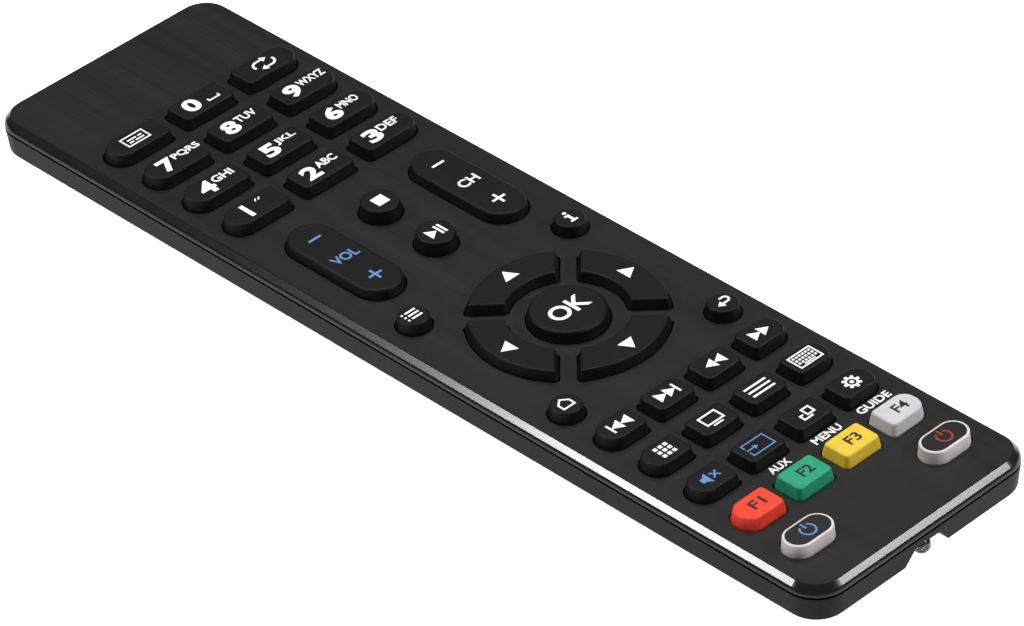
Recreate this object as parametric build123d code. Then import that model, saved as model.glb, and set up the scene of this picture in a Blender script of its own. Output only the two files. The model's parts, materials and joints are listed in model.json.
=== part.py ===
from build123d import *
from collections import namedtuple
from math import atan2, cos, degrees, radians, sin, sqrt
import os

# A slim universal remote control lying on its back. Millimetres, +Z up, +X across the width,
# +Y along the length towards the number keys. The infrared end is at -Y, and z = 0 is the
# flat belly that it rests on.

# Outline of the case
overall_width = 48.0
corner_radius = 5.6
bevel = 1.1              # slope from the flat face down to the widest line
bevel_rounding = 1.1     # radius where the slope turns into the upright edge
rim_land = 0.1           # strip of the top case left flat around the faceplate
parting_gap = 0.45       # shadow line between the two halves of the case
side_draft = 0.5         # how far the lower shell leans in from top to bottom
wall = 1.8               # side wall of the lower shell at its top edge
skirt_edge_radius = 0.6
fit_clearance = 0.15     # between fixed pieces of the case
cut_margin = 1.0         # how far a cut runs past the surface that it opens

# Layers, from the table up
door_thickness = 1.4
cell_clearance = 0.2
cell_diameter = 10.5
ceiling_thickness = 0.8
board_standoff = 0.35
board_thickness = 1.0
mat_thickness = 0.6
mat_gap = 0.1
key_travel = 0.7
flange_thickness = 0.5
flange_gap = 0.05
top_wall = 1.2
faceplate_thickness = 0.4
floor_thickness = 1.5    # underside of the lower shell beside the belly

cell_bottom = door_thickness + cell_clearance
cell_axis_z = cell_bottom + cell_diameter / 2
bay_top = cell_bottom + cell_diameter + cell_clearance
floor_top = bay_top + ceiling_thickness
board_bottom = floor_top + board_standoff
board_top = board_bottom + board_thickness
mat_top = board_top + mat_thickness
flange_bottom = mat_top + mat_gap + key_travel
flange_top = flange_bottom + flange_thickness
wall_bottom = flange_top + flange_gap
wall_top = wall_bottom + top_wall
plate_top = wall_top + faceplate_thickness
underside = floor_top - floor_thickness
shell_top = wall_bottom - parting_gap
boss_joint = mat_top     # where the screw bosses of the two halves meet

# Joint between the halves
lip_thickness = 0.8
lip_depth = 1.0
lip_bottom = wall_bottom - lip_depth

# Belly that holds the cells
belly_width = 24.8       # flat underneath
belly_end_inset = 12.25  # from each end of the case
belly_corner = 6.0
belly_flare = 2.1        # how far its walls lean out on the way up
belly_edge_radius = 1.6
belly_wall = 1.4

# Keys
hole_clearance = 0.25
flange_overhang = 0.5
key_draft = 0.4
key_edge_radius = 0.32
stem_radius = 1.6
stem_clearance = 0.3
pad_thickness = 0.05
pad_radius = 1.5
contact_gap = 0.1        # left between a pressed stem and its pad
pressed_stem_bottom = board_top + pad_thickness + contact_gap

# Number keys: three columns, four rows, the outer ones rounded and a little longer
number_side_margin = 3.775
number_gap = 2.7
number_depth = 5.95
number_height = 2.0
number_row_pitch = 9.5
number_rows = 4
number_outer_extra = 0.8
number_outer_radius = 2.9
number_width = (overall_width - 2 * (number_side_margin + number_outer_extra + number_gap)) / 3
number_column_pitch = number_width + number_gap

# Function keys: four columns, three black rows and one coloured row
function_side_margin = 4.3
function_gap = 2.4
function_depth = 5.7
function_height = 2.0
function_row_pitch = 9.5
function_rows = 4
function_outer_extra = 0.2
function_outer_radius = 2.6
inner_corner_radius = 0.9
colour_edge_radius = 0.45
function_width = (overall_width - 2 * (function_side_margin + function_outer_extra)
                  - 3 * function_gap) / 4
function_column_pitch = function_width + function_gap

# Power keys
power_width = 9.35
power_depth = 5.4
power_height = 2.0
power_draft = 0.2
power_edge_radius = 0.18
power_side_margin = 9.1  # from the side of the case to the middle of the key
power_end_margin = 10.45 # from the near end of the case to the middle of the key
power_row_pitch = 9.9    # from the power keys to the coloured row

# Transport keys between the rockers, and the four small keys around the pad
round_radius = 3.55
round_height = 2.3
stop_offset = 6.15       # from the middle of the rockers towards the number keys
play_offset = 6.55       # from the middle of the rockers towards the pad
small_radius = 2.9
small_height = 1.9
small_side_margin = 6.85  # from the side of the case to the middle of the key
small_offset_y = 16.75   # from the middle of the pad

# Rockers
rocker_width = 8.6
rocker_length = 23.7
rocker_height = 1.7
rocker_side_margin = 10.45
rocker_body_lift = 0.15  # how far its underside stays above the flanges of the other keys
rocker_tab_length = 6.0
rocker_tab_top_gap = 0.25
rocker_tab_thickness = 0.4
rocker_contact_offset = 8.5
rocker_edge_radius = 0.5
rocker_tilt = 3.0        # degrees, each way

# Navigation pad
ok_radius = 6.6
ok_height = 2.0
ok_edge_radius = 0.6
ring_inner = 9.55
ring_outer = 16.25
ring_gap = 3.0           # channel between two arrow keys
ring_height = 1.75
ring_corner_radius = 0.7
ring_draft = 0.5

# The keys' places along the case, chained from its near end, and the length that they add up to
function_to_pad = 7.35
pad_to_rockers = 8.0
rockers_to_numbers = 5.4
blank_length = 22.4     # bare stretch past the last row of number keys

power_chain = power_end_margin
colour_chain = power_chain + power_row_pitch
function_chain = colour_chain + (function_rows - 1) * function_row_pitch
pad_chain = function_chain + function_depth / 2 + function_to_pad + ring_outer
rocker_chain = pad_chain + ring_outer + pad_to_rockers + rocker_length / 2
number_chain = rocker_chain + rocker_length / 2 + rockers_to_numbers + number_depth / 2
last_number_chain = number_chain + (number_rows - 1) * number_row_pitch
overall_length = last_number_chain + number_depth / 2 + blank_length

half_width = overall_width / 2
half_length = overall_length / 2
inner_half_width = half_width - wall
inner_half_length = half_length - wall

power_x = half_width - power_side_margin
power_y = power_chain - half_length
function_first_row = function_chain - half_length
pad_y = pad_chain - half_length
small_x = half_width - small_side_margin
rocker_x = half_width - rocker_side_margin
rocker_y = rocker_chain - half_length
stop_y = rocker_y + stop_offset
play_y = rocker_y - play_offset
number_first_row = number_chain - half_length
belly_length = overall_length - 2 * belly_end_inset

# Infrared emitter and the notch it looks out of
emitter_radius = 1.45
emitter_axis_drop = 4.9  # below the faceplate
emitter_tip_inset = 0.1
emitter_length = 5.4     # dome tip to flange
emitter_flange_radius = 1.5
emitter_flange_thickness = 0.8
lead_width = 0.5
lead_thickness = 0.25
lead_spacing = 2.54
lead_lap = 2.0           # length of lead under the board
notch_bottom_width = 10.0
notch_top_width = 5.4
notch_drop = 3.35        # top of the notch below the faceplate
notch_depth = 4.4
notch_wall = 1.0
notch_corner_radius = 1.0

# Circuit board and what is soldered on its underside
board_side_clearance = 0.9
board_near_inset = 6.95  # from the near end of the case
board_far_inset = 15.75
board_corner = 2.0
board_near = board_near_inset - half_length
board_far = half_length - board_far_inset
mat_inset = 0.4          # mat edge inside the board edge
standoff_radius = 1.5
standoff_side_margin = 5.0
standoff_x = half_width - standoff_side_margin
standoff_rows = (board_near + 19.8, pad_y + 10.2, number_first_row - 5.35, board_far - 4.5)
chip_size = 9.0
chip_thickness = 1.4
chip_y = pad_y - 4.8
capacitor_radius = 2.5
capacitor_length = 7.0
capacitor_xy = (5.5, chip_y - 26.0)
resonator_size = (7.0, 3.0, 3.5)
resonator_xy = (-5.0, chip_y - 24.0)

# Cells and their contacts
cell_length = 44.5
cell_nub_radius = 1.9
cell_nub_length = 0.8
cell_crimp_radius = 0.5
cell_pitch = 10.8
bay_half_width = 11.0
bay_end_inset = 13.5     # from the bay to the end of the belly
contact_thickness = 0.4
contact_size = 8.0
spring_length = 6.5
spring_turns = 4
spring_wire = 0.5
spring_large_radius = 3.4
spring_small_radius = 2.4
spring_end_gap = 0.05
tab_width = 2.6
bay_wall = 1.4
bay_far = belly_length / 2 - bay_end_inset
bay_near = bay_far - 2 * contact_thickness - spring_length - cell_length

# Battery door: a panel with tongues, and the end of the belly
door_gap = 0.15
door_panel_width = 19.0
door_panel_lower = 0.7   # thickness below the tongues
tongue_width = 0.8
tongue_gap = 0.1
door_start = bay_near + 1.3
door_cap_start = bay_far + bay_wall + 2.1
door_inner_wall = 1.4
grip_grooves = 5
grip_pitch = 2.2
grip_width = 12.0
grip_groove_width = 0.9
grip_depth = 0.35
grip_y = door_start + 9.0

# Case screws
screw_side_margin = 8.0
screw_end_inset = 10.15  # of the far pair
screw_x = half_width - screw_side_margin
screw_far_y = half_length - screw_end_inset
screw_board_gap = 0.3    # from the near bosses to the end of the board
screw_radius = 1.0
screw_head_radius = 1.8
screw_head_height = 1.3
screw_head_recess = 0.4
screw_seat = 1.2
screw_slot = (2.2, 0.5, 0.5)
boss_radius = 2.3
pilot_clearance = 0.02
shank_clearance = 0.15
pilot_cover = 0.5        # wall left above the pilot hole

Key = namedtuple("Key", "name outline height draft edge stems")


def rounded(width, length, radius):
    """A rectangle with equal corner radii, centred on the origin."""
    return RectangleRounded(width, length, radius)


def prism(sketch, bottom, top):
    """Extrude a sketch between two heights."""
    return extrude(Plane.XY.offset(bottom) * sketch, top - bottom)


def drafted(low, high, bottom, top):
    """A solid with straight sides from one outline to another above it."""
    return loft([Plane.XY.offset(bottom) * low, Plane.XY.offset(top) * high], ruled=True)


def block(x_range, y_range, z_range):
    """A plain block between three pairs of coordinates."""
    size = [pair[1] - pair[0] for pair in (x_range, y_range, z_range)]
    centre = [(pair[1] + pair[0]) / 2 for pair in (x_range, y_range, z_range)]
    return Pos(*centre) * Box(*size)


def post(x, y, radius, bottom, top):
    """An upright cylinder."""
    return Pos(x, y, (bottom + top) / 2) * Cylinder(radius, top - bottom)


# Outlines of the keys, each one a function of how far it is grown

def end_block_outline(centre, width, depth, outer, outer_extra, outer_radius):
    """A rectangle whose outer end, at -X or +X, is longer and rounder; outer is -1, 0 or 1."""
    def outline(grow=0.0):
        extra = outer_extra if outer else 0.0
        shape = Rectangle(width + extra + 2 * grow, depth + 2 * grow)
        small = inner_corner_radius + grow / 2
        large = outer_radius + grow
        left = large if outer < 0 else small
        right = large if outer > 0 else small
        shape = fillet(shape.vertices().sort_by(Axis.X)[:2], left)
        shape = fillet(shape.vertices().sort_by(Axis.X)[-2:], right)
        return Pos(centre[0] + outer * extra / 2, centre[1]) * shape
    return outline


def disc_outline(centre, radius):
    def outline(grow=0.0):
        return Pos(*centre) * Circle(radius + grow)
    return outline


def slot_outline(centre, length, width, rotation):
    def outline(grow=0.0):
        slot = SlotOverall(length + 2 * grow, width + 2 * grow, rotation=rotation)
        return Pos(*centre) * slot
    return outline


def sector_outline(angle):
    """A quarter of the ring around the OK key, cut back by half a channel at each end."""
    def outline(grow=0.0):
        apex = (ring_gap / 2 - grow) * sqrt(2)
        reach = 2 * ring_outer
        wedge = Polygon((apex, 0), (apex + reach, -reach), (apex + reach, reach), align=None)
        ring = Circle(ring_outer + grow) - Circle(ring_inner - grow)
        sector = ring & wedge
        sector = fillet(sector.vertices(), ring_corner_radius + grow / 2)
        return Pos(0, pad_y) * Rot(0, 0, angle) * sector
    return outline


def number_keys():
    names = (("key_1", "key_2", "key_3"), ("key_4", "key_5", "key_6"),
             ("key_7", "key_8", "key_9"), ("subtitle_key", "key_0", "recall_key"))
    for row, row_names in enumerate(names):
        for column, name in enumerate(row_names):
            outer = column - 1
            centre = (outer * number_column_pitch, number_first_row + row * number_row_pitch)
            outline = end_block_outline(centre, number_width, number_depth, outer,
                                        number_outer_extra, number_outer_radius)
            yield Key(name, outline, number_height, key_draft, key_edge_radius, (centre,))


def function_keys():
    names = (("previous_key", "next_key", "rewind_key", "forward_key"),
             ("apps_key", "screen_key", "menu_key", "keyboard_key"),
             ("mute_key", "input_key", "swap_key", "settings_key"),
             ("red_key", "green_key", "yellow_key", "grey_key"))
    for row, row_names in enumerate(names):
        for column, name in enumerate(row_names):
            outer = (-1, 0, 0, 1)[column]
            centre = ((column - 1.5) * function_column_pitch,
                      function_first_row - row * function_row_pitch)
            outline = end_block_outline(centre, function_width, function_depth, outer,
                                        function_outer_extra, function_outer_radius)
            edge = colour_edge_radius if row_names is names[-1] else key_edge_radius
            yield Key(name, outline, function_height, key_draft, edge, (centre,))


def round_keys():
    small_near = pad_y - small_offset_y
    small_far = pad_y + small_offset_y
    places = (("stop_key", 0, stop_y, round_radius, round_height, key_edge_radius),
              ("play_pause_key", 0, play_y, round_radius, round_height, key_edge_radius),
              ("list_key", -small_x, small_far, small_radius, small_height, key_edge_radius),
              ("info_key", small_x, small_far, small_radius, small_height, key_edge_radius),
              ("home_key", -small_x, small_near, small_radius, small_height, key_edge_radius),
              ("return_key", small_x, small_near, small_radius, small_height, key_edge_radius),
              ("ok_key", 0, pad_y, ok_radius, ok_height, ok_edge_radius))
    for name, x, y, radius, height, edge in places:
        yield Key(name, disc_outline((x, y), radius), height, key_draft, edge, ((x, y),))


def arrow_keys():
    middle = (ring_inner + ring_outer) / 2
    for name, angle in (("arrow_right_key", 0), ("arrow_up_key", 90),
                        ("arrow_left_key", 180), ("arrow_down_key", 270)):
        centre = (middle * cos(radians(angle)), pad_y + middle * sin(radians(angle)))
        yield Key(name, sector_outline(angle), ring_height, ring_draft, key_edge_radius, (centre,))


def power_keys():
    for name, side in (("power_key_left", -1), ("power_key_right", 1)):
        centre = (side * power_x, power_y)
        outline = slot_outline(centre, power_width, power_depth, 0)
        yield Key(name, outline, power_height, power_draft, power_edge_radius, (centre,))


def rockers():
    for name, side in (("volume_rocker", -1), ("channel_rocker", 1)):
        centre = (side * rocker_x, rocker_y)
        stems = tuple((centre[0], centre[1] + end * rocker_contact_offset) for end in (-1, 1))
        outline = slot_outline(centre, rocker_length, rocker_width, 90)
        yield Key(name, outline, rocker_height, key_draft, rocker_edge_radius, stems)


press_keys = [*number_keys(), *function_keys(), *round_keys(), *arrow_keys(), *power_keys()]
rocker_keys = list(rockers())
all_keys = press_keys + rocker_keys


def key_cap(key, bottom):
    """The part of a key that passes the case and stands above the faceplate."""
    guide = prism(key.outline(), bottom, plate_top)
    crown = drafted(key.outline(), key.outline(-key.draft), plate_top, plate_top + key.height)
    crown = fillet(crown.faces().sort_by(Axis.Z)[-1].edges(), key.edge)
    return guide + crown


def stem(place, travel, top):
    """Post that closes a contact on the board when it has gone down by its travel."""
    return post(*place, stem_radius, pressed_stem_bottom + travel, top)


def press_key(key):
    """A key that travels straight down, kept in by a flange under the case wall."""
    solid = key_cap(key, flange_bottom)
    solid += prism(key.outline(hole_clearance + flange_overhang), flange_bottom, flange_top)
    for place in key.stems:
        solid += stem(place, key_travel, flange_bottom)
    return solid


def rocker_key(key, side):
    """A rocker that tilts on two short tabs at its middle and has a contact at each end."""
    body_bottom = flange_bottom + rocker_body_lift
    tab_top = wall_bottom - rocker_tab_top_gap
    solid = key_cap(key, body_bottom)
    reach = rocker_width / 2 + hole_clearance + flange_overhang
    x = side * rocker_x
    half_tab = rocker_tab_length / 2
    solid += block((x - reach, x + reach), (rocker_y - half_tab, rocker_y + half_tab),
                   (tab_top - rocker_tab_thickness, tab_top))
    travel = (rocker_contact_offset + stem_radius) * sin(radians(rocker_tilt))
    for place in key.stems:
        solid += stem(place, travel, body_bottom)
    return solid


def key_holes(bottom, top):
    """Every key's opening through a layer of the case."""
    return [prism(key.outline(hole_clearance), bottom, top) for key in all_keys]


def screw_places():
    near = board_near - screw_board_gap - boss_radius
    return [(side * screw_x, y) for y in (screw_far_y, near) for side in (-1, 1)]


def top_case():
    """Upper shell: bevelled edge, wall with the key openings, locating lip, screw bosses."""
    shell = prism(rounded(overall_width, overall_length, corner_radius), wall_bottom, plate_top)
    shell = chamfer(shell.faces().sort_by(Axis.Z)[-1].edges(), bevel)
    widest_edges = shell.edges().group_by(Axis.Z)[2]
    shell = fillet(widest_edges, bevel_rounding)
    recess = bevel + rim_land
    shell -= prism(rounded(overall_width - 2 * recess, overall_length - 2 * recess,
                           corner_radius - recess), wall_top, plate_top)
    lip_width = 2 * (inner_half_width - fit_clearance)
    lip_length = 2 * (inner_half_length - fit_clearance)
    lip_corner = corner_radius - wall - fit_clearance
    lip = prism(rounded(lip_width, lip_length, lip_corner), lip_bottom, wall_bottom)
    lip -= prism(rounded(lip_width - 2 * lip_thickness, lip_length - 2 * lip_thickness,
                         lip_corner - lip_thickness), lip_bottom, wall_bottom)
    shell += lip
    for x, y in screw_places():
        shell += post(x, y, boss_radius, boss_joint, wall_bottom)
        shell -= post(x, y, screw_radius + pilot_clearance, boss_joint, wall_top - pilot_cover)
    return shell - key_holes(wall_bottom, wall_top)


def faceplate():
    """Thin sheet that lies in the recess of the top case."""
    inset = bevel + rim_land + fit_clearance / 3
    sheet = prism(rounded(overall_width - 2 * inset, overall_length - 2 * inset,
                          corner_radius - inset), wall_top, plate_top)
    return sheet - key_holes(wall_top, plate_top)


def skirt_outline(inset):
    return rounded(overall_width - 2 * inset, overall_length - 2 * inset, corner_radius - inset)


def belly(inset, bottom, top):
    """The hump under the lower shell, or its hollow when inset by a wall."""
    lean = belly_flare / underside

    def section(z):
        grow = 2 * (lean * z - inset)
        return rounded(belly_width + grow, belly_length + grow, belly_corner + grow / 2)

    return drafted(section(bottom), section(top), bottom, top)


def belly_outside():
    hump = belly(0, 0, underside)
    return fillet(hump.faces().sort_by(Axis.Z)[0].edges(), belly_edge_radius)


emitter_z = plate_top - emitter_axis_drop
emitter_tip_y = -half_length + emitter_tip_inset
notch_back = -half_length + notch_depth


def notch_housing():
    """Block inside the lower shell that the emitter notch is cut from."""
    half = notch_bottom_width / 2 + notch_wall
    return block((-half, half), (-half_length + wall / 2, notch_back + notch_wall),
                 (floor_top, lip_bottom - fit_clearance))


def notch_cut():
    """The notch itself, open below and towards -Y, with the emitter's hole behind it."""
    top = plate_top - notch_drop
    low = notch_bottom_width / 2
    high = notch_top_width / 2
    slope = (low - high) / (top - underside)
    wide = low + slope * cut_margin
    shape = Polygon((-wide, underside - cut_margin), (wide, underside - cut_margin),
                    (high, top), (-high, top), align=None)
    corners = shape.vertices().sort_by(Axis.Y)[-2:]
    shape = fillet(corners, notch_corner_radius)
    plane = Plane(origin=(0, notch_back, 0), x_dir=(1, 0, 0), z_dir=(0, -1, 0))
    return extrude(plane * shape, notch_depth + cut_margin)


def trough(radius, y_range):
    """A round channel along Y at the emitter's axis, open underneath."""
    start, end = y_range
    channel = Pos(0, (start + end) / 2, emitter_z) * Rot(90, 0, 0) * Cylinder(radius, end - start)
    return channel + block((-radius, radius), y_range, (underside - cut_margin, emitter_z))


def emitter_seat():
    """Where the emitter's body and flange lie behind the notch."""
    base = emitter_tip_y + emitter_length
    flange_end = base + emitter_flange_thickness + fit_clearance
    seat = trough(emitter_radius + fit_clearance, (notch_back, base))
    return seat + trough(emitter_flange_radius + fit_clearance, (base - fit_clearance, flange_end))


def door_slot():
    """Everything that the closed door occupies in the lower shell, with its clearance."""
    start = door_start - door_gap
    end = half_length
    panel = door_panel_width / 2 + door_gap
    tongue = door_panel_width / 2 + tongue_width + door_gap
    slot = block((-panel, panel), (start, end), (-cut_margin, door_thickness))
    slot += block((-tongue, tongue), (start, end),
                  (door_panel_lower - tongue_gap, door_thickness + tongue_gap))
    return slot


def bottom_case():
    """Lower shell: drafted skirt, belly, battery bay, board standoffs, emitter notch."""
    shell = drafted(skirt_outline(side_draft), skirt_outline(0), underside, shell_top)
    shell = fillet(shell.faces().sort_by(Axis.Z)[0].edges(), skirt_edge_radius)
    hump = belly_outside()
    cap_cut = block((-half_width, half_width), (door_cap_start - door_gap, half_length),
                    (-cut_margin, underside))
    shell += hump - cap_cut
    shell -= prism(rounded(2 * inner_half_width, 2 * inner_half_length, corner_radius - wall),
                   floor_top, shell_top)
    hollow_far = bay_near - bay_wall
    hollow = belly(belly_wall, door_thickness, underside)
    hollow += prism(rounded(belly_width - 2 * belly_wall, belly_length - 2 * belly_wall,
                            belly_corner - belly_wall), underside, floor_top)
    hollow -= block((-half_width, half_width), (hollow_far, half_length), (0, plate_top))
    shell -= hollow
    shell -= block((-bay_half_width, bay_half_width), (bay_near, bay_far),
                   (door_thickness, bay_top))
    shell -= door_slot()
    shell += notch_housing()
    shell -= notch_cut()
    shell -= emitter_seat()
    for x in (-standoff_x, standoff_x):
        for y in standoff_rows:
            shell += post(x, y, standoff_radius, floor_top, board_bottom)
    for x, y in screw_places():
        shell += post(x, y, boss_radius, floor_top, boss_joint)
        shell -= post(x, y, screw_head_radius + fit_clearance, underside - cut_margin,
                      boss_joint - screw_seat)
        shell -= post(x, y, screw_radius + shank_clearance, underside, boss_joint)
    for place in contact_tabs():
        shell -= contact_tab(*place, door_gap)
    return shell


def battery_door():
    """Sliding cover: a tongued panel and the far end of the belly in one piece."""
    region = block((-half_width, half_width), (door_cap_start, half_length),
                   (-cut_margin, underside - door_gap))
    cap = belly_outside() & region
    cap -= belly(door_inner_wall, door_thickness, underside)
    panel = door_panel_width / 2
    tongue = panel + tongue_width
    far = belly_length / 2 - belly_corner
    door = cap + block((-panel, panel), (door_start, far), (0, door_thickness))
    door += block((-tongue, tongue), (door_start, far), (door_panel_lower, door_thickness))
    for index in range(grip_grooves):
        y = grip_y + index * grip_pitch
        half = grip_groove_width / 2
        door -= block((-grip_width / 2, grip_width / 2), (y - half, y + half), (0, grip_depth))
    return door


def board_outline():
    half = inner_half_width - board_side_clearance
    middle = (board_near + board_far) / 2
    return Pos(0, middle) * rounded(2 * half, board_far - board_near, board_corner)


def circuit_board():
    return prism(board_outline(), board_bottom, board_top)


def keypad_mat():
    """Sheet on the board, open around each key's stem."""
    half = inner_half_width - board_side_clearance - mat_inset
    middle = (board_near + board_far) / 2
    length = board_far - board_near - 2 * mat_inset
    mat = prism(Pos(0, middle) * rounded(2 * half, length, board_corner), board_top, mat_top)
    holes = [post(*place, stem_radius + stem_clearance, board_top, mat_top)
             for key in all_keys for place in key.stems]
    return mat - holes


def contact_pads():
    """Carbon pads on the board, one under each stem."""
    pads = [post(*place, pad_radius, board_top, board_top + pad_thickness)
            for key in all_keys for place in key.stems]
    return Compound(children=pads)


def controller_chip():
    body = Pos(0, chip_y, board_bottom - chip_thickness / 2) * Box(chip_size, chip_size,
                                                                 chip_thickness)
    return chamfer(body.faces().sort_by(Axis.Z)[0].edges(), chip_thickness / 5)


def capacitor():
    x, y = capacitor_xy
    can = post(x, y, capacitor_radius, board_bottom - capacitor_length, board_bottom)
    return fillet(can.faces().sort_by(Axis.Z)[0].edges(), capacitor_radius / 6)


def resonator():
    width, depth, height = resonator_size
    x, y = resonator_xy
    body = Pos(x, y, board_bottom - height / 2) * Box(width, depth, height)
    return fillet(body.edges().filter_by(Axis.Z), depth / 4)


def ir_emitter():
    """Clear lamp lying along Y with a domed tip, a flange and two leads under the board."""
    dome_y = emitter_tip_y + emitter_radius
    base_y = emitter_tip_y + emitter_length
    flange_y = base_y + emitter_flange_thickness
    body = Pos(0, (dome_y + base_y) / 2, emitter_z) * Rot(90, 0, 0) * Cylinder(
        emitter_radius, base_y - dome_y)
    body += Pos(0, dome_y, emitter_z) * Sphere(emitter_radius)
    body += Pos(0, (base_y + flange_y) / 2, emitter_z) * Rot(90, 0, 0) * Cylinder(
        emitter_flange_radius, emitter_flange_thickness)
    for side in (-1, 1):
        x = side * lead_spacing / 2
        body += block((x - lead_width / 2, x + lead_width / 2),
                      (flange_y - emitter_flange_thickness / 2, board_near + lead_lap),
                      (board_bottom - lead_thickness, board_bottom))
    return body


def cell(side):
    """One cell; its positive end points away from its own spring."""
    x = side * cell_pitch / 2
    start = bay_near + contact_thickness
    if side < 0:
        start += spring_length
    can_length = cell_length - cell_nub_length
    can = Cylinder(cell_diameter / 2, can_length)
    can = fillet(can.edges(), cell_crimp_radius)
    nub = Pos(0, 0, can_length / 2 + cell_nub_length / 2) * Cylinder(cell_nub_radius,
                                                                    cell_nub_length)
    upright = Pos(0, 0, can_length / 2) * (can + nub)
    if side < 0:
        return Pos(x, start, cell_axis_z) * Rot(-90, 0, 0) * upright
    return Pos(x, start + cell_length, cell_axis_z) * Rot(90, 0, 0) * upright


def contact_plate(x, wide, wall_y, direction):
    """A flat contact against a bay wall; direction says which way along Y it faces."""
    half = contact_size / 2
    y_range = sorted((wall_y, wall_y + direction * contact_thickness))
    return block((x - wide / 2, x + wide / 2), y_range, (cell_axis_z - half, cell_axis_z + half))


def contact_tabs():
    """Where the two near contacts rise through the bay ceiling to the board."""
    return [(side * cell_pitch / 2, bay_near) for side in (-1, 1)]


def contact_tab(x, y, grow=0.0):
    return block((x - tab_width / 2 - grow, x + tab_width / 2 + grow),
                 (y, y + contact_thickness + grow), (cell_axis_z, board_bottom))


def contact_spring(x, wall_y, direction):
    """Conical coil from a contact plate towards a cell's flat end."""
    base = wall_y + direction * contact_thickness
    height = spring_length - spring_wire / 2 - spring_end_gap
    lean = degrees(atan2(spring_small_radius - spring_large_radius, height))
    path = Helix(height / spring_turns, height, spring_large_radius, cone_angle=lean)
    start = path @ 0
    profile = Plane(origin=start, z_dir=path % 0) * Circle(spring_wire / 2)
    coil = sweep(profile, path=path)
    turn = Rot(-90, 0, 0) if direction > 0 else Rot(90, 0, 0)
    return Pos(x, base, cell_axis_z) * turn * coil


def negative_contact():
    x = -cell_pitch / 2
    return (contact_plate(x, contact_size, bay_near, 1) + contact_tab(x, bay_near)
            + contact_spring(x, bay_near, 1))


def positive_contact():
    x = cell_pitch / 2
    return contact_plate(x, contact_size, bay_near, 1) + contact_tab(x, bay_near)


def bridge_contact():
    plate = contact_plate(0, cell_pitch + contact_size, bay_far, -1)
    return plate + contact_spring(cell_pitch / 2, bay_far, -1)


def case_screws():
    """Four screws driven from below into the top case."""
    seat = boss_joint - screw_seat
    slot_length, slot_width, slot_depth = screw_slot
    screws = []
    for x, y in screw_places():
        head = post(x, y, screw_head_radius, seat - screw_head_height, seat)
        head = fillet(head.faces().sort_by(Axis.Z)[0].edges(), screw_head_recess)
        for turn in (0, 90):
            head -= Pos(x, y, seat - screw_head_height + slot_depth / 2) * Rot(0, 0, turn) * Box(
                slot_length, slot_width, slot_depth)
        screws.append(head + post(x, y, screw_radius, seat, wall_top - 2 * pilot_cover))
    return Compound(children=screws)


def nodes():
    """Every piece by name, in the order that it goes together."""
    yield "bottom_case", bottom_case()
    yield "battery_door", battery_door()
    yield "battery_left", cell(-1)
    yield "battery_right", cell(1)
    yield "negative_contact", negative_contact()
    yield "positive_contact", positive_contact()
    yield "bridge_contact", bridge_contact()
    yield "circuit_board", circuit_board()
    yield "controller_chip", controller_chip()
    yield "capacitor", capacitor()
    yield "resonator", resonator()
    yield "ir_emitter", ir_emitter()
    yield "contact_pads", contact_pads()
    yield "keypad_mat", keypad_mat()
    for key in press_keys:
        yield key.name, press_key(key)
    for key, side in zip(rocker_keys, (-1, 1)):
        yield key.name, rocker_key(key, side)
    yield "top_case", top_case()
    yield "faceplate", faceplate()
    yield "case_screws", case_screws()


os.makedirs("parts", exist_ok=True)
for name, solid in nodes():
    export_step(solid, f"parts/{name}.step")
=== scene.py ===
import json
from math import cos, pi, radians, sin

import bmesh
import bpy
from mathutils import Matrix, Vector
from mathutils.geometry import tessellate_polygon


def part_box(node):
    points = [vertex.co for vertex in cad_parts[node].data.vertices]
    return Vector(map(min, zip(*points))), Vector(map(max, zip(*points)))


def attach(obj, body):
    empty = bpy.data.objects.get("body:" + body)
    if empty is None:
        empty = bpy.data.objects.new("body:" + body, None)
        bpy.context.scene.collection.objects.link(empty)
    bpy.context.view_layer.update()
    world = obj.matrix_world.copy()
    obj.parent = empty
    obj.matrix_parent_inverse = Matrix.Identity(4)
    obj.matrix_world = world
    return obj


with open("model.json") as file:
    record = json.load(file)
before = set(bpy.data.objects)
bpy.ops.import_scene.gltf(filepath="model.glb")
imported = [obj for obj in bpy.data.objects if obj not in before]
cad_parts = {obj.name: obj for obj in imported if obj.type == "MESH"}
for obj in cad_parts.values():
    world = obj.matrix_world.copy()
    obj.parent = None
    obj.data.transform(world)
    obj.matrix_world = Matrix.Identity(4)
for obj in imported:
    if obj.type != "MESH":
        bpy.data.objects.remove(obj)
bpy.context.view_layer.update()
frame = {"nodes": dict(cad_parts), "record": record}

MM = 0.001

# Camera, solved from the edges of the photographed case
IMAGE_WIDTH = 1024
SENSOR_WIDTH = 36.0
FOCAL_PIXELS = 5987.67
CAMERA_AZIMUTH = radians(-42.4806)
CAMERA_ELEVATION = radians(36.842)
CAMERA_ROLL = radians(-3.4987)
CAMERA_DISTANCE = 929.872 * MM
AIM_X = -4.8963 * MM
AIM_Y = -9.9273 * MM

# Colours, linear
WHITE_INK = (0.86, 0.86, 0.84)
BLUE_INK = (0.105, 0.22, 0.46)
RED_INK = (0.36, 0.02, 0.014)
BLACK_INK = (0.012, 0.012, 0.012)

# Printed marks
PRINT_SINK = 0.02 * MM
PRINT_RISE = 0.025 * MM
ARC_STEPS = 20
MARK_SCALE = 0.9
MEDIUM = 0.02  # how far the outline of a letter swells
BOLD = 0.04

plate_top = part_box("faceplate")[1].z


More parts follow.
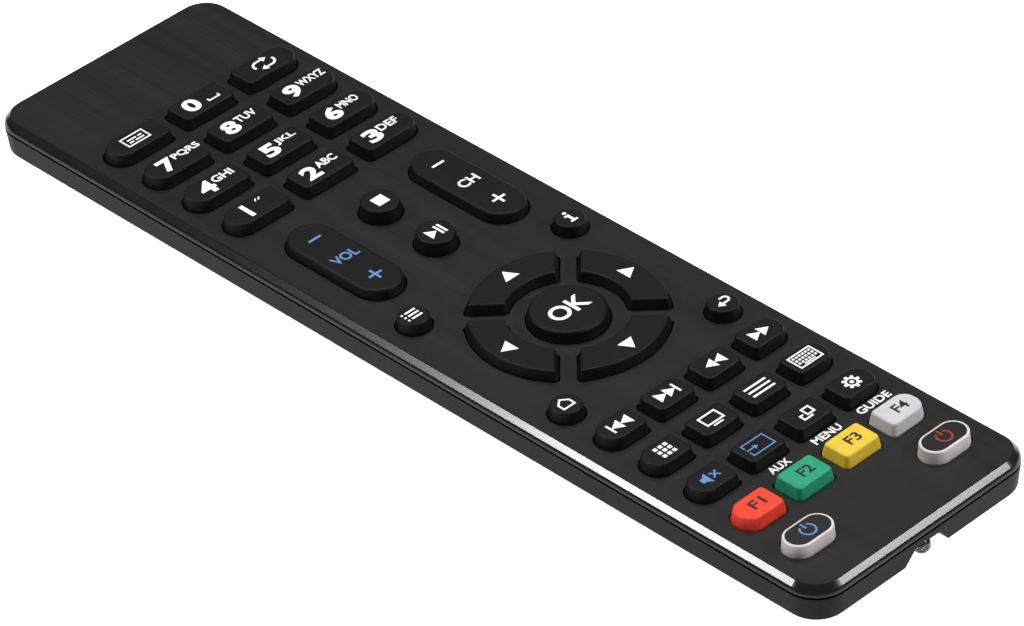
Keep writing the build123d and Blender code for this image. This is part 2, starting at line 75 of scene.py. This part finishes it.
def camera():
    """The photograph's viewpoint."""
    a, e, r = CAMERA_AZIMUTH, CAMERA_ELEVATION, CAMERA_ROLL
    back = Vector((sin(a) * cos(e), -cos(a) * cos(e), sin(e)))
    level = Vector((cos(a), sin(a), 0))
    upright = back.cross(level)
    right = cos(r) * level + sin(r) * upright
    up = cos(r) * upright - sin(r) * level
    data = bpy.data.cameras.new("camera")
    data.sensor_width = SENSOR_WIDTH
    data.lens = FOCAL_PIXELS / IMAGE_WIDTH * SENSOR_WIDTH
    data.clip_start = 0.01
    data.clip_end = 20
    view = bpy.data.objects.new("camera", data)
    turn = Matrix((right, up, back)).transposed()
    place = Vector((AIM_X, AIM_Y, plate_top)) + CAMERA_DISTANCE * back
    view.matrix_world = Matrix.Translation(place) @ turn.to_4x4()
    bpy.context.collection.objects.link(view)
    bpy.context.scene.camera = view


# Materials

class Nodes:
    """A material's node tree, with short ways to add what these finishes share."""

    def __init__(self, name, colour, roughness, **sockets):
        self.material = bpy.data.materials.new(name)
        self.material.use_nodes = True
        self.tree = self.material.node_tree
        self.shader = self.tree.nodes["Principled BSDF"]
        self.colour = colour
        self.shader.inputs["Base Color"].default_value = (*colour, 1)
        self.shader.inputs["Roughness"].default_value = roughness
        for socket, value in sockets.items():
            self.shader.inputs[socket.replace("_", " ")].default_value = value
        self.place = self.tree.nodes.new("ShaderNodeTexCoord").outputs["Object"]

    def node(self, kind, **settings):
        made = self.tree.nodes.new(kind)
        for key, value in settings.items():
            setattr(made, key, value)
        return made

    def link(self, source, target):
        self.tree.links.new(source, target)

    def stretched(self, scale):
        """Object coordinates scaled along each axis."""
        mapping = self.node("ShaderNodeMapping")
        mapping.inputs["Scale"].default_value = scale
        self.link(self.place, mapping.inputs["Vector"])
        return mapping.outputs["Vector"]

    def noise(self, scale, detail=3.0, stretch=None):
        made = self.node("ShaderNodeTexNoise")
        made.inputs["Scale"].default_value = scale
        made.inputs["Detail"].default_value = detail
        self.link(self.stretched(stretch) if stretch else self.place, made.inputs["Vector"])
        return made.outputs["Fac"]

    def spread(self, value, low, high, start=0.3, end=0.7):
        """A 0 to 1 value mapped to a range."""
        made = self.node("ShaderNodeMapRange")
        sockets = ("From Min", "From Max", "To Min", "To Max")
        for socket, number in zip(sockets, (start, end, low, high)):
            made.inputs[socket].default_value = number
        self.link(value, made.inputs["Value"])
        return made.outputs["Result"]

    def tint(self, value, other):
        """Base colour that moves from the material's own to another colour with a value."""
        mix = self.node("ShaderNodeMix", data_type="RGBA")
        mix.inputs["A"].default_value = (*self.colour, 1)
        mix.inputs["B"].default_value = (*other, 1)
        self.link(value, mix.inputs["Factor"])
        self.link(mix.outputs["Result"], self.shader.inputs["Base Color"])
        return mix

    def rough(self, value, low, high):
        self.link(self.spread(value, low, high), self.shader.inputs["Roughness"])

    def bump(self, height, distance, strength=1.0):
        made = self.node("ShaderNodeBump")
        made.inputs["Distance"].default_value = distance
        made.inputs["Strength"].default_value = strength
        self.link(height, made.inputs["Height"])
        self.link(made.outputs["Normal"], self.shader.inputs["Normal"])


def gloss_black():
    """Polished black plastic of the top case, with hairline scuffs."""
    m = Nodes("gloss_black", (0.006, 0.006, 0.0065), 0.2, Specular_IOR_Level=0.22)
    m.tint(m.spread(m.noise(90), 0, 1), (0.01, 0.0095, 0.01))
    scuffs = m.noise(700, 3, (1, 0.06, 1))
    m.rough(scuffs, 0.165, 0.18)
    m.bump(scuffs, 0.0002 * MM)
    return m.material


def brushed_black():
    """Black sheet brushed along its length."""
    m = Nodes("brushed_black", (0.006, 0.006, 0.0064), 0.42, Specular_IOR_Level=0.19)
    hairs = m.noise(2600, 2, (1, 0.012, 1))
    bands = m.noise(240, 3, (1, 0.05, 1))
    m.tint(m.spread(bands, 0, 1, 0.25, 0.75), (0.0125, 0.0115, 0.0125))
    m.rough(hairs, 0.36, 0.5)
    m.bump(hairs, 0.006 * MM)
    return m.material


def matte_case():
    """Spark-eroded matte plastic of the lower shell and the battery door."""
    m = Nodes("matte_case", (0.0035, 0.003, 0.0034), 0.6, Specular_IOR_Level=0.08)
    m.tint(m.spread(m.noise(140), 0, 1), (0.006, 0.005, 0.0056))
    grain = m.noise(5200, 2)
    m.rough(grain, 0.48, 0.62)
    m.bump(grain, 0.02 * MM)
    return m.material


def silicone(name, colour, shade=0.85, roughness=(0.44, 0.56), specular=0.3, glow=0.0, grit=0.012):
    """Moulded silicone: soft, slightly dusty, a touch uneven."""
    m = Nodes(name, colour, roughness[0], Specular_IOR_Level=specular)
    m.tint(m.spread(m.noise(420, 4), 0, 1), tuple(shade * part for part in colour))
    grain = m.noise(3800, 3)
    m.rough(grain, *roughness)
    m.bump(grain, grit * MM)
    if glow:
        m.shader.inputs["Subsurface Weight"].default_value = glow
        m.shader.inputs["Subsurface Radius"].default_value = (1.0, 0.6, 0.4)
        m.shader.inputs["Subsurface Scale"].default_value = 1.2 * MM
    return m.material


def ink(name, colour):
    """Screen print: flat, faintly uneven."""
    m = Nodes(name, colour, 0.5, Specular_IOR_Level=0.3)
    m.tint(m.spread(m.noise(2600, 3), 0, 1), tuple(0.86 * part for part in colour))
    m.bump(m.noise(5200, 2), 0.004 * MM)
    return m.material


def clear_lens():
    """Clear epoxy of the infrared lamp."""
    m = Nodes("clear_lens", (0.95, 0.96, 0.97), 0.04, IOR=1.5, Transmission_Weight=1.0)
    m.rough(m.noise(500), 0.02, 0.07)
    return m.material


def metal(name, colour, roughness=(0.22, 0.4)):
    """Plated metal with fine drawn lines."""
    m = Nodes(name, colour, roughness[0], Metallic=1.0)
    lines = m.noise(1600, 3, (1, 0.2, 1))
    m.tint(m.spread(lines, 0, 1), tuple(0.75 * part for part in colour))
    m.rough(lines, *roughness)
    m.bump(lines, 0.006 * MM)
    return m.material


def solder_mask():
    """Green lacquer over copper tracks."""
    m = Nodes("solder_mask", (0.012, 0.11, 0.04), 0.3)
    tracks = m.node("ShaderNodeTexBrick")
    tracks.inputs["Scale"].default_value = 160
    tracks.inputs["Mortar Size"].default_value = 0.06
    m.link(m.place, tracks.inputs["Vector"])
    m.tint(tracks.outputs["Fac"], (0.03, 0.2, 0.07))
    m.bump(tracks.outputs["Fac"], 0.02 * MM)
    return m.material


def cell_wrap():
    """Printed sleeve of a cell: a dark body with a warm band at one end."""
    m = Nodes("cell_wrap", (0.02, 0.02, 0.024), 0.3, Specular_IOR_Level=0.6)
    split = m.node("ShaderNodeSeparateXYZ")
    m.link(m.place, split.inputs["Vector"])
    low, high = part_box("battery_left")
    band = m.spread(split.outputs["Y"], 0, 1, high.y - 11 * MM, high.y - 10.9 * MM)
    m.tint(band, (0.45, 0.2, 0.05))
    m.rough(m.noise(260), 0.24, 0.4)
    return m.material


# Outlines of printed marks, in millimetres. A shape is a list of closed outlines: the first is
# the outside and the others are holes. A mark is a list of shapes.

def arc(x, y, radius, start, end, steps=ARC_STEPS):
    turns = [radians(start + (end - start) * i / steps) for i in range(steps + 1)]
    return [(x + radius * cos(t), y + radius * sin(t)) for t in turns]


def bar(x0, y0, x1, y1):
    return [[(x0, y0), (x1, y0), (x1, y1), (x0, y1)]]


def disc(x, y, radius):
    return [arc(x, y, radius, 0, 360)[:-1]]


def stroke(points, width, closed=False):
    """The outline of a pen line with mitred corners."""
    count = len(points)
    left, right = [], []
    for i, (x, y) in enumerate(points):
        before = points[i - 1] if closed or i else None
        after = points[(i + 1) % count] if closed or i < count - 1 else None
        into = Vector((x - before[0], y - before[1])).normalized() if before else None
        out = Vector((after[0] - x, after[1] - y)).normalized() if after else None
        into = into or out
        out = out or into
        mitre = Vector((-(into + out).y, (into + out).x)).normalized()
        reach = width / 2 / max(0.35, mitre.dot(Vector((-into.y, into.x))))
        left.append((x + mitre.x * reach, y + mitre.y * reach))
        right.append((x - mitre.x * reach, y - mitre.y * reach))
    if closed:
        return [left, right] if abs(area(left)) > abs(area(right)) else [right, left]
    return [left + right[::-1]]


def area(outline):
    pairs = zip(outline, outline[1:] + outline[:1])
    return sum(a[0] * b[1] - b[0] * a[1] for a, b in pairs) / 2


def triangle(x, y, length, height, turn=0):
    """A triangle about its middle that points along +X before it is turned."""
    points = [(-length / 2, -height / 2), (length / 2, 0), (-length / 2, height / 2)]
    c, s = cos(radians(turn)), sin(radians(turn))
    return [[(x + c * px - s * py, y + s * px + c * py) for px, py in points]]


def moved(mark, x, y, scale=1.0):
    return [[[(scale * px + x, scale * py + y) for px, py in outline] for outline in shape]
            for shape in mark]


def double_arrow(direction, with_bar):
    """Two triangles, with a bar at their tip for the skip keys."""
    length, height, thick = 2.1, 2.6, 0.42
    turn = 0 if direction > 0 else 180
    mark = [triangle(side * length / 2, 0, length, height, turn) for side in (-1, 1)]
    if with_bar:
        x = direction * (length + thick / 2)
        mark.append(bar(x - thick / 2, -height / 2, x + thick / 2, height / 2))
    return moved(mark, -direction * (thick / 2 if with_bar else 0), 0)


def play_pause():
    return [triangle(-0.75, 0, 2.0, 2.8), bar(0.5, -1.4, 0.95, 1.4), bar(1.35, -1.4, 1.8, 1.4)]


def list_mark():
    mark = []
    for y in (-0.95, 0, 0.95):
        mark.append(bar(-1.65, y - 0.2, -1.2, y + 0.2))
        mark.append(bar(-0.75, y - 0.2, 1.65, y + 0.2))
    return mark


def info_mark():
    stem = [[(-0.75, -1.6), (0.8, -1.6), (0.8, -1.15), (0.35, -1.15), (0.35, 0.55), (-0.75, 0.55),
             (-0.75, 0.1), (-0.25, 0.1), (-0.25, -1.15), (-0.75, -1.15)]]
    return [stem, disc(0.05, 1.25, 0.38)]


def home_mark():
    points = [(-1.25, -1.2), (1.25, -1.2), (1.25, 0.2), (0, 1.25), (-1.25, 0.2)]
    return [stroke(points, 0.36, closed=True)]


def return_mark():
    line = [(-0.5, -0.7), *arc(0.7, 0, 0.7, -90, 90, 12), (-0.1, 0.7)]
    return [stroke(line, 0.42), triangle(-1.05, -0.7, 1.2, 1.7, 180)]


def three_bars():
    return [bar(-2.6, y - 0.22, 2.6, y + 0.22) for y in (-1.15, 0, 1.15)]


def grid_mark():
    """Nine small squares, for the apps key."""
    size, pitch = 0.75, 1.15
    places = [(x * pitch, y * pitch) for x in (-1, 0, 1) for y in (-1, 0, 1)]
    return [bar(x - size / 2, y - size / 2, x + size / 2, y + size / 2) for x, y in places]


def screen_mark():
    return [stroke([(-1.9, -0.9), (1.9, -0.9), (1.9, 1.5), (-1.9, 1.5)], 0.36, closed=True),
            bar(-1.1, -1.75, 1.1, -1.4)]


def keyboard_mark():
    mark = [stroke([(-2.6, -1.7), (2.6, -1.7), (2.6, 1.7), (-2.6, 1.7)], 0.32, closed=True)]
    for y in (1.0, 0.2, -0.6):
        for x in (-1.9, -1.14, -0.38, 0.38, 1.14, 1.9):
            mark.append(bar(x - 0.24, y - 0.24, x + 0.24, y + 0.24))
    mark.append(bar(-1.3, -1.34, 1.3, -1.06))
    return mark


def mute_mark():
    speaker = [[(-1.9, -0.6), (-1.2, -0.6), (-0.2, -1.45), (-0.2, 1.45), (-1.2, 0.6), (-1.9, 0.6)]]
    lines = ([(0.45, -0.75), (1.9, 0.75)], [(0.45, 0.75), (1.02, 0.16)], [(1.33, -0.16), (1.9, -0.75)])
    return [speaker, *(stroke(line, 0.34) for line in lines)]


def input_mark():
    """A frame with an arrow going in at its left side."""
    return [stroke([(-2.5, 0.6), (-2.5, 1.6), (2.5, 1.6), (2.5, -1.6), (-2.5, -1.6), (-2.5, -0.6)], 0.26),
            bar(-2.6, -0.13, -0.9, 0.13), triangle(-0.5, 0, 0.9, 1.2)]


def swap_mark():
    """A small picture behind a larger one."""
    return [stroke([(-0.1, -0.7), (1.5, -0.7), (1.5, 0.95), (-0.1, 0.95)], 0.36, closed=True),
            stroke([(-0.75, -0.2), (-1.5, -0.2), (-1.5, -1.4), (0.35, -1.4), (0.35, -1.1)], 0.36)]


def gear_mark():
    teeth, inner, outer = 8, 1.25, 1.75
    rim = []
    for i in range(teeth):
        middle = 360 / teeth * i
        for angle, radius in ((-15, inner), (-9, outer), (9, outer), (15, inner)):
            turn = radians(middle + angle)
            rim.append((radius * cos(turn), radius * sin(turn)))
    return [[rim, disc(0, 0, 0.85)[0]], disc(0, 0, 0.4)]


def loop_mark():
    """Two arrows that chase each other round, for recall."""
    mark = []
    for turn in (0, 180):
        c, s = cos(radians(turn)), sin(radians(turn))
        path = [*arc(-1.0, 0, 1.25, 200, 90, 10), (0.35, 1.25)]
        mark.append(stroke([(c * px - s * py, s * px + c * py) for px, py in path], 0.46))
        mark.append(triangle(c * 0.9, c * 1.25, 1.15, 1.6, turn))
    return mark


def subtitle_mark():
    """A caption frame with two lines."""
    return [stroke([(-2.5, -1.35), (2.5, -1.35), (2.5, 1.35), (-2.5, 1.35)], 0.3, closed=True),
            bar(-1.7, 0.1, 0.4, 0.45), bar(0.8, 0.1, 1.7, 0.45), bar(-1.7, -0.7, -0.7, -0.35),
            bar(-0.3, -0.7, 1.7, -0.35)]


def power_mark():
    return [stroke(arc(0, 0, 1.25, 122, 418, 28), 0.3), bar(-0.16, 0.35, 0.16, 1.65)]


def sound_marks():
    """Two small marks beside the 1."""
    return [stroke([(-1.1, 0.4), (-0.6, 1.0)], 0.28), stroke([(-0.3, 0.4), (0.2, 1.0)], 0.28)]


def space_mark():
    return [stroke([(-1.2, 0.5), (-1.2, -0.2), (1.2, -0.2), (1.2, 0.5)], 0.34)]


# Building and placing

def add_prism(mesh, shape, low, high):
    """Adds a flat shape, in millimetres, as a closed plate between two heights in metres."""
    loops = [[Vector((x * MM, y * MM, 0)) for x, y in outline] for outline in shape]
    flat = [point for loop in loops for point in loop]
    bottom = [mesh.verts.new((p.x, p.y, low)) for p in flat]
    top = [mesh.verts.new((p.x, p.y, high)) for p in flat]
    for corners in tessellate_polygon(loops):
        a, b, c = (flat[i] for i in corners)
        corners = corners if (b - a).cross(c - a).z > 0 else corners[::-1]
        mesh.faces.new([top[i] for i in corners])
        mesh.faces.new([bottom[i] for i in corners[::-1]])
    start = 0
    for index, loop in enumerate(loops):
        outline = [(p.x, p.y) for p in loop]
        outward = (area(outline) > 0) == (index == 0)
        for i in range(len(loop)):
            j, k = start + i, start + (i + 1) % len(loop)
            j, k = (j, k) if outward else (k, j)
            mesh.faces.new((bottom[j], bottom[k], top[k], top[j]))
        start += len(loop)


def add_text(mesh, words, x, y, height, low, high, width, weight):
    """Adds raised letters of a given height in millimetres, centred at (x, y); weight swells them."""
    curve = bpy.data.curves.new("letters", "FONT")
    curve.body = words
    curve.extrude = 0.5
    curve.offset = weight
    curve.resolution_u = 5
    source = bpy.data.objects.new("letters", curve)
    bpy.context.collection.objects.link(source)
    bpy.context.view_layer.update()
    made = bpy.data.meshes.new_from_object(source.evaluated_get(bpy.context.evaluated_depsgraph_get()))
    bpy.data.objects.remove(source)
    points = [v.co for v in made.vertices]
    lows = [min(p[i] for p in points) for i in range(3)]
    highs = [max(p[i] for p in points) for i in range(3)]
    scale_y = height * MM / (highs[1] - lows[1])
    scale_x = width * MM / (highs[0] - lows[0]) if width else scale_y
    for v in made.vertices:
        v.co.x = x * MM + (v.co.x - (lows[0] + highs[0]) / 2) * scale_x
        v.co.y = y * MM + (v.co.y - (lows[1] + highs[1]) / 2) * scale_y
        v.co.z = low if v.co.z < 0 else high
    mesh.from_mesh(made)
    bpy.data.meshes.remove(made)


def finish_piece(mesh, name, material, body, smooth=False):
    bmesh.ops.remove_doubles(mesh, verts=mesh.verts, dist=0.0005 * MM)
    data = bpy.data.meshes.new(name)
    mesh.to_mesh(data)
    mesh.free()
    for face in data.polygons:
        face.use_smooth = smooth
    data.materials.append(material)
    piece = bpy.data.objects.new(name, data)
    bpy.context.collection.objects.link(piece)
    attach(piece, body)
    return piece


def printed(name, body, level, material, marks=(), words=(), scale=MARK_SCALE):
    """One piece that holds every mark and word printed on a key or on the case."""
    mesh = bmesh.new()
    low, high = level - PRINT_SINK, level + PRINT_RISE
    for x, y, mark in marks:
        for shape in moved(mark, x, y, scale):
            add_prism(mesh, shape, low, high)
    for text, x, y, height, width, weight in words:
        add_text(mesh, text, x, y, height, low, high, width, weight)
    return finish_piece(mesh, name, material, body)


def top_of(node):
    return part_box(node)[1].z


def middle_of(node):
    low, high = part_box(node)
    return (low.x + high.x) / 2 / MM, (low.y + high.y) / 2 / MM


def number_legends(material):
    """Digits on the left of the keys and letter groups to their right."""
    groups = {"2": "ABC", "3": "DEF", "4": "GHI", "5": "JKL", "6": "MNO", "7": "PQRS",
              "8": "TUV", "9": "WXYZ"}
    digit_offset, digit_width, digit_height = -2.0, 3.0, 3.5
    letters_left, letters_rise, letter_height, letter_width = -0.2, 0.75, 1.75, 1.38
    column_pitch = 13.8
    for digit in "0123456789":
        node = f"key_{digit}"
        x, y = middle_of(node)
        x = round(x / column_pitch) * column_pitch
        width = None if digit == "1" else digit_width
        words = [(digit, x + digit_offset, y, digit_height, width, BOLD)]
        marks = []
        if digit in groups:
            span = letter_width * len(groups[digit])
            middle = x + letters_left + span / 2
            words.append((groups[digit], middle, y + letters_rise, letter_height, span, MEDIUM))
        elif digit == "1":
            marks.append((x + 1.6, y + 0.6, sound_marks()))
        else:
            marks.append((x + 2.0, y - 1.0, space_mark()))
        printed(f"{node}_print", node, top_of(node), material, marks, words)


def key_marks(white, blue):
    """Every key that carries one mark."""
    rows = (
        ("subtitle_key", -14.3, 67.4, subtitle_mark(), white),
        ("recall_key", 14.1, 67.4, loop_mark(), white),
        ("stop_key", 0, 24.8, [bar(-1.3, -1.3, 1.3, 1.3)], white),
        ("play_pause_key", 0, 12.1, play_pause(), white),
        ("list_key", -17.3, -0.45, list_mark(), white),
        ("info_key", 17.2, -0.45, info_mark(), white),
        ("home_key", -17.3, -34.0, home_mark(), white),
        ("return_key", 17.3, -33.9, return_mark(), white),
        ("previous_key", -15.4, -43.9, double_arrow(-1, True), white),
        ("next_key", -5.2, -43.9, double_arrow(1, True), white),
        ("rewind_key", 5.2, -43.9, double_arrow(-1, False), white),
        ("forward_key", 15.3, -43.9, double_arrow(1, False), white),
        ("apps_key", -15.4, -53.4, grid_mark(), white),
        ("screen_key", -5.2, -53.4, screen_mark(), white),
        ("menu_key", 5.15, -53.4, three_bars(), white),
        ("keyboard_key", 15.3, -53.4, keyboard_mark(), white),
        ("mute_key", -15.6, -62.9, mute_mark(), blue),
        ("input_key", -5.15, -62.9, input_mark(), blue),
        ("swap_key", 5.3, -62.8, swap_mark(), white),
        ("settings_key", 15.5, -62.9, gear_mark(), white),
    )
    for node, x, y, mark, material in rows:
        printed(f"{node}_print", node, top_of(node), material, [(x, y, mark)])


def pad_legends(white):
    """Triangles on the four arrow keys and the word on the middle key."""
    pad_x, pad_y = middle_of("ok_key")
    radius, length, height = 13.4, 2.7, 3.3
    for name, turn in (("right", 0), ("up", 90), ("left", 180), ("down", 270)):
        node = f"arrow_{name}_key"
        x, y = pad_x + radius * cos(radians(turn)), pad_y + radius * sin(radians(turn))
        printed(f"{node}_print", node, top_of(node), white, [(x, y, [triangle(0, 0, length, height, turn)])])
    printed("ok_key_print", "ok_key", top_of("ok_key"), white, (),
            [("OK", pad_x, pad_y, 3.6, 7.3, MEDIUM)])


def rocker_legends(white, blue):
    plus = [[(-1.5, -0.25), (-0.25, -0.25), (-0.25, -1.5), (0.25, -1.5), (0.25, -0.25), (1.5, -0.25),
             (1.5, 0.25), (0.25, 0.25), (0.25, 1.5), (-0.25, 1.5), (-0.25, 0.25), (-1.5, 0.25)]]
    minus = bar(-1.4, -0.25, 1.4, 0.25)
    sign_offset, letter_height = 6.95, 2.1
    for node, word, width, material in (("volume_rocker", "VOL", 5.0, blue),
                                        ("channel_rocker", "CH", 3.9, white)):
        x, y = middle_of(node)
        marks = [(x, y + sign_offset, [minus]), (x, y - sign_offset, [plus])]
        printed(f"{node}_print", node, top_of(node), material, marks,
                [(word, x, y, letter_height, width, MEDIUM)])


def colour_key_legends(black):
    for index, node in enumerate(("red_key", "green_key", "yellow_key", "grey_key")):
        x, y = middle_of(node)
        x += 0.3
        printed(f"{node}_print", node, top_of(node), black, (),
                [(f"F{index + 1}", x, y, 2.0, 2.7, MEDIUM)])


def plate_legends(white):
    """Small words on the faceplate just past the coloured keys."""
    y, height = -67.05, 1.6
    words = [("AUX", -5.0, y, height, 4.2, MEDIUM), ("MENU", 5.4, y, height, 5.8, MEDIUM),
             ("GUIDE", 15.8, y, height, 6.8, MEDIUM)]
    printed("plate_print", "case", plate_top, white, (), words)


def power_tops(black_top, red, blue):
    """The black cap let into each power key, with its sign."""
    length, width, rise, edge = 8.15, 4.25, 0.07, 0.12
    for node, material in (("power_key_left", blue), ("power_key_right", red)):
        x, y = middle_of(node)
        level = top_of(node)
        mesh = bmesh.new()
        for inset, low, high in ((0, level - 0.1 * MM, level + rise * MM / 2),
                                 (edge, level, level + rise * MM)):
            radius = width / 2 - inset
            half = (length - width) / 2
            outline = arc(x + half, y, radius, -90, 90) + arc(x - half, y, radius, 90, 270)
            add_prism(mesh, [outline], low, high)
        finish_piece(mesh, f"{node}_cap", black_top, node)
        printed(f"{node}_print", node, level + rise * MM, material, [(x, y, power_mark())], scale=1.0)


def lamp_core(steel, dark):
    """The lamp's chip cup and chip, seen through its clear lens."""
    low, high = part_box("ir_emitter")
    z = (low.z + high.z) / 2 / MM
    tip = low.y / MM
    depth, taper = 0.5, 0.7
    for name, material, size, y in (("lamp_cup", steel, 0.55, tip + 2.4),
                                    ("lamp_chip", dark, 0.22, tip + 1.95)):
        mesh = bmesh.new()
        place = Matrix.Translation((0, y * MM, z * MM)) @ Matrix.Rotation(pi / 2, 4, "X")
        bmesh.ops.create_cone(mesh, cap_ends=True, segments=24, radius1=size * taper * MM,
                              radius2=size * MM, depth=depth * MM, matrix=place)
        finish_piece(mesh, name, material, "case", smooth=False)


def stage():
    """Pale floor and soft studio light."""
    half, level = 3.0, -0.1 * MM
    mesh = bpy.data.meshes.new("floor")
    corners = [(x * half, y * half, level) for x, y in ((-1, -1), (1, -1), (1, 1), (-1, 1))]
    mesh.from_pydata(corners, [], [(0, 1, 2, 3)])
    floor = bpy.data.objects.new("floor", mesh)
    bpy.context.collection.objects.link(floor)
    m = Nodes("floor", (0.9, 0.9, 0.9), 0.7, Specular_IOR_Level=0.0)
    m.tint(m.spread(m.noise(3), 0, 1), (0.88, 0.88, 0.885))
    m.shader.inputs["Emission Color"].default_value = (1, 1, 1, 1)
    m.shader.inputs["Emission Strength"].default_value = 0.88
    mesh.materials.append(m.material)
    world = bpy.data.worlds.new("studio")
    world.use_nodes = True
    world.node_tree.nodes["Background"].inputs["Color"].default_value = (1, 1, 1, 1)
    world.node_tree.nodes["Background"].inputs["Strength"].default_value = 0.1
    bpy.context.scene.world = world
    bpy.context.scene.view_settings.view_transform = "Standard"


def softbox(name, target, direction, distance, along, size, watts):
    """A rectangular lamp that faces a point on the object, with its first side along a direction."""
    data = bpy.data.lights.new(name, "AREA")
    data.shape = "RECTANGLE"
    data.size, data.size_y = size
    data.energy = watts
    lamp = bpy.data.objects.new(name, data)
    away = Vector(direction).normalized()
    across = away.cross(Vector(along)).normalized()
    turn = Matrix((across.cross(away), across, away)).transposed()
    lamp.matrix_world = Matrix.Translation(Vector(target) + away * distance) @ turn.to_4x4()
    bpy.context.collection.objects.link(lamp)


def lights():
    low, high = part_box("faceplate")
    softbox("overhead", (0, 0, plate_top), (0.1, 0.2, 1), 1.1, (1, 0, 0), (1.0, 1.0), 13.5)
    softbox("left_edge", (low.x, low.y + 2 * MM, plate_top), (-0.6, 0.59, 0.54), 0.55, (0, 1, 0),
            (0.09, 0.05), 1.25)
    softbox("left_edge_tail", (low.x, low.y + 66 * MM, plate_top), (-0.6, 0.59, 0.54), 0.55, (0, 1, 0),
            (0.06, 0.05), 0.025)
    softbox("near_edge", (-8 * MM, low.y, plate_top), (0.55, -0.6, 0.59), 0.55, (1, 0, 0),
            (0.13, 0.05), 2.3)


def dress_case(materials):
    """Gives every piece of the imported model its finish."""
    by_slot = {part["node"]: part["material_slot"] for part in frame["record"]["subparts"]}
    for node, obj in frame["nodes"].items():
        obj.data.materials.clear()
        obj.data.materials.append(materials[by_slot[node]])


black_top = silicone("power_cap", (0.012, 0.012, 0.013), roughness=(0.3, 0.36), specular=0.25, grit=0.003)
steel = metal("plated_steel", (0.62, 0.6, 0.56))
finishes = {
    "case_gloss": gloss_black(),
    "faceplate": brushed_black(),
    "case_matte": matte_case(),
    "key_black": silicone("key_black", (0.0028, 0.0028, 0.0032), 1.6, specular=0.14),
    "key_red": silicone("key_red", (0.72, 0.042, 0.018), glow=0.15),
    "key_green": silicone("key_green", (0.01, 0.27, 0.14), glow=0.1),
    "key_yellow": silicone("key_yellow", (0.68, 0.47, 0.032), glow=0.15),
    "key_grey": silicone("key_grey", (0.46, 0.465, 0.485), 0.9),
    "key_power": silicone("key_power", (0.56, 0.52, 0.505), 0.9, glow=0.1),
    "mat": silicone("mat", (0.12, 0.12, 0.125)),
    "board": solder_mask(),
    "carbon": silicone("carbon", (0.015, 0.015, 0.015)),
    "chip": silicone("chip", (0.018, 0.018, 0.018)),
    "resonator": silicone("resonator", (0.6, 0.2, 0.03)),
    "capacitor": metal("capacitor", (0.09, 0.1, 0.14)),
    "emitter": clear_lens(),
    "cell": cell_wrap(),
    "contact": steel,
    "screw": metal("screw", (0.5, 0.5, 0.52)),
}
white, blue = ink("white_ink", WHITE_INK), ink("blue_ink", BLUE_INK)
red, black = ink("red_ink", RED_INK), ink("black_ink", BLACK_INK)

camera()
stage()
lights()
dress_case(finishes)
number_legends(white)
key_marks(white, blue)
pad_legends(white)
rocker_legends(white, blue)
colour_key_legends(black)
plate_legends(white)
power_tops(black_top, red, blue)
lamp_core(steel, black)
